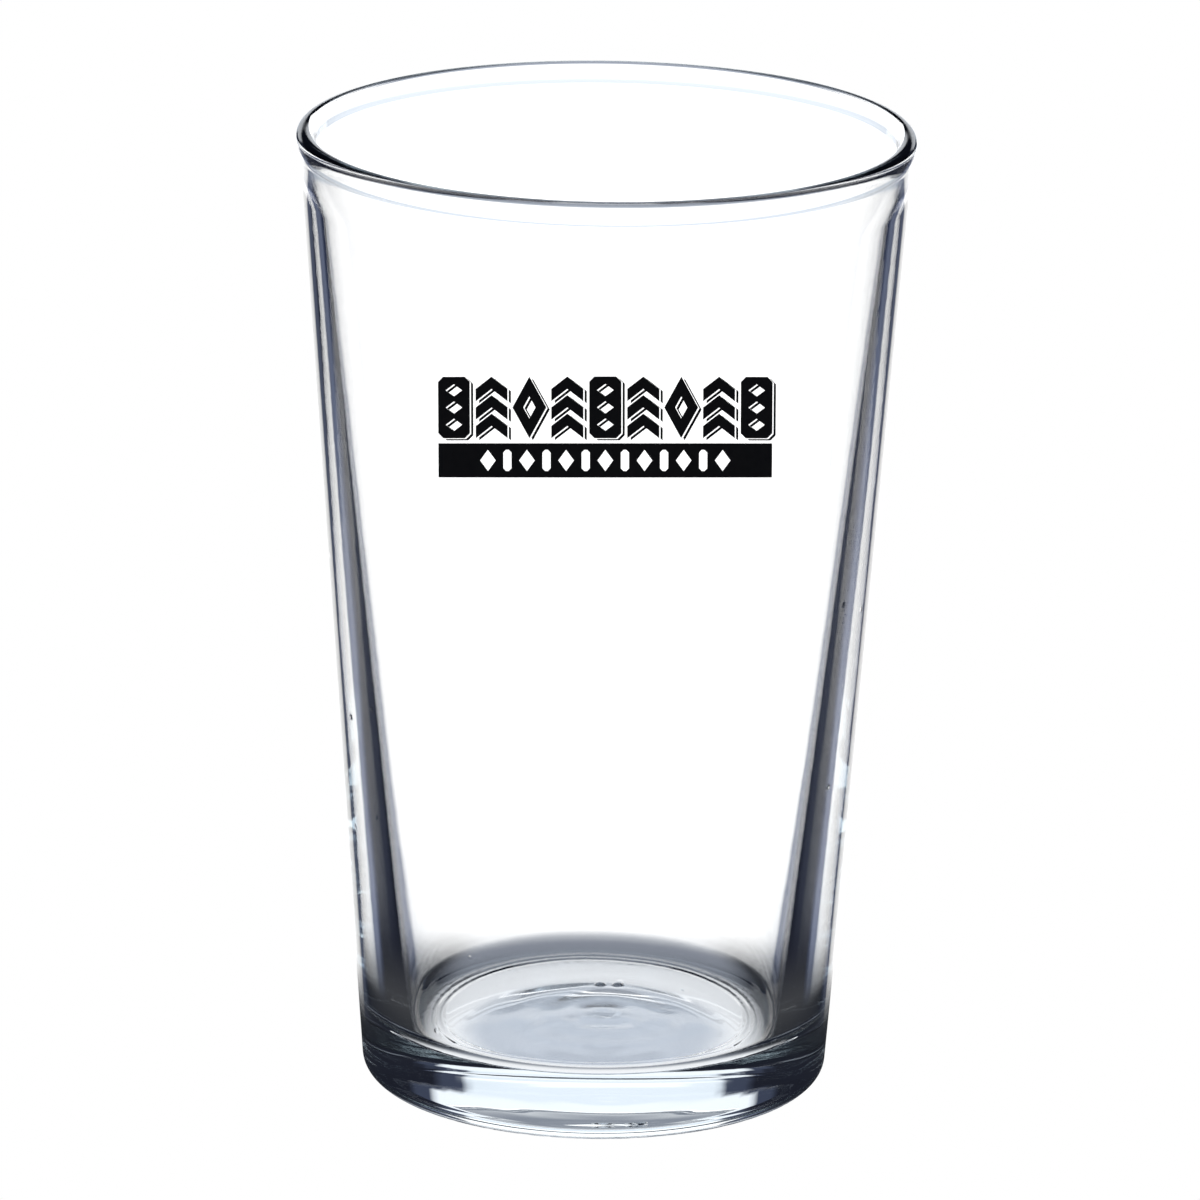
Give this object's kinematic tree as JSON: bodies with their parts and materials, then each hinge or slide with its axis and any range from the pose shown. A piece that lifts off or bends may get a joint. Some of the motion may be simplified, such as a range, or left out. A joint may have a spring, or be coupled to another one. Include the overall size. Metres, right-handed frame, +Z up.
{
  "type": "pint glass",
  "caption": "Clear pressed-glass pint tumbler with straight tapered walls, a rounded rim bead, a thick base and a black geometric print on the front.",
  "frame": {"origin": "centre of the plane that the glass stands on", "axes": "+Z up along the glass's axis, out of the mouth; the print faces -Y; +X to the right of a person who faces the print"},
  "size_m": [0.0888, 0.0888, 0.1416],
  "materials": {
    "clear_glass": "clear soda-lime glass, fire-polished",
    "black_enamel": "fired black enamel print, semi-gloss"
  },
  "bodies": {
    "root": {"glass_body": "clear_glass", "print_bar": "black_enamel", "print_motifs": "black_enamel", "print_shadows": "black_enamel"}
  },
  "joints": []
}
